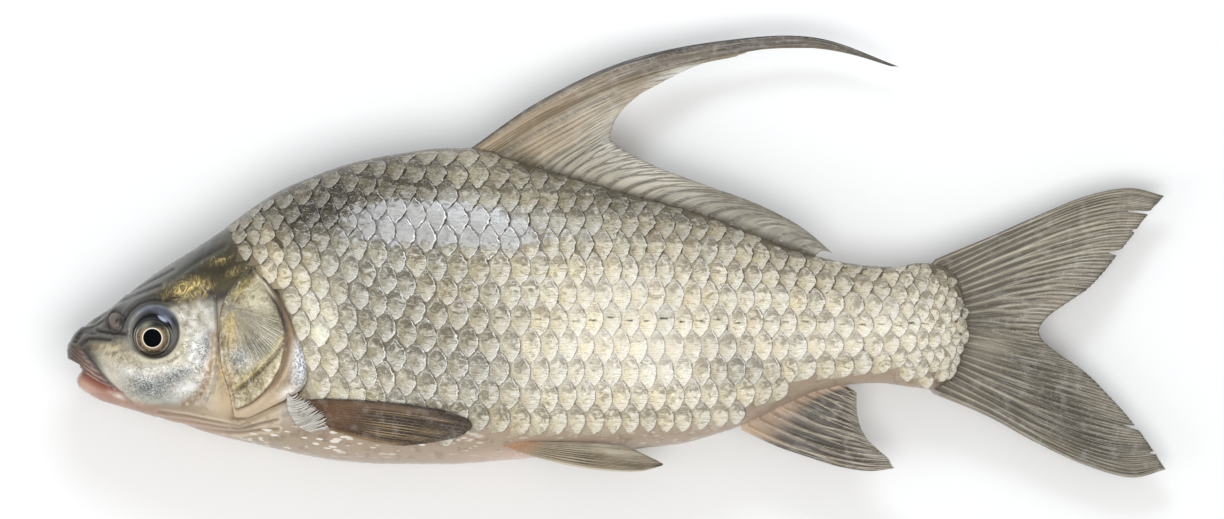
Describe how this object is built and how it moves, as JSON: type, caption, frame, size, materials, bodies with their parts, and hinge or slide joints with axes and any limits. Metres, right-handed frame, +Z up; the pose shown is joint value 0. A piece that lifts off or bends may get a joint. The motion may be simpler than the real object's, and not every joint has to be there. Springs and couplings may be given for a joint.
{
  "type": "whole raw fish",
  "caption": "Whole raw freshwater fish, deep-bodied and flattened side to side, with silvery scales, a long trailing dorsal ray and a forked tail, lying on its right flank.",
  "frame": {"origin": "middle of the fish's footprint, on the surface that it lies on", "axes": "+X from the snout towards the tail, +Y from the belly towards the back, +Z up, which is out of the left flank"},
  "size_m": [0.3662, 0.1472, 0.0486],
  "materials": {
    "scaled_skin": "wet, pearly silver scales, olive along the back, pinkish beige along the belly",
    "gill_cover": "wet, glossy, silver bone plate with gold and olive tints and fine radial striae",
    "fin": "wet, thin, grey-brown web over darker and paler bony rays",
    "eye": "clear and wet over a dark pupil and a brown-gold iris"
  },
  "bodies": {
    "root": {"body": "scaled_skin", "dorsal_fin": "fin", "tail_fin": "fin", "anal_fin": "fin", "left_pectoral_fin": "fin", "right_pectoral_fin": "fin", "left_pelvic_fin": "fin", "right_pelvic_fin": "fin", "left_eye": "eye", "right_eye": "eye", "left_gill_cover": "gill_cover", "right_gill_cover": "gill_cover"}
  },
  "joints": []
}
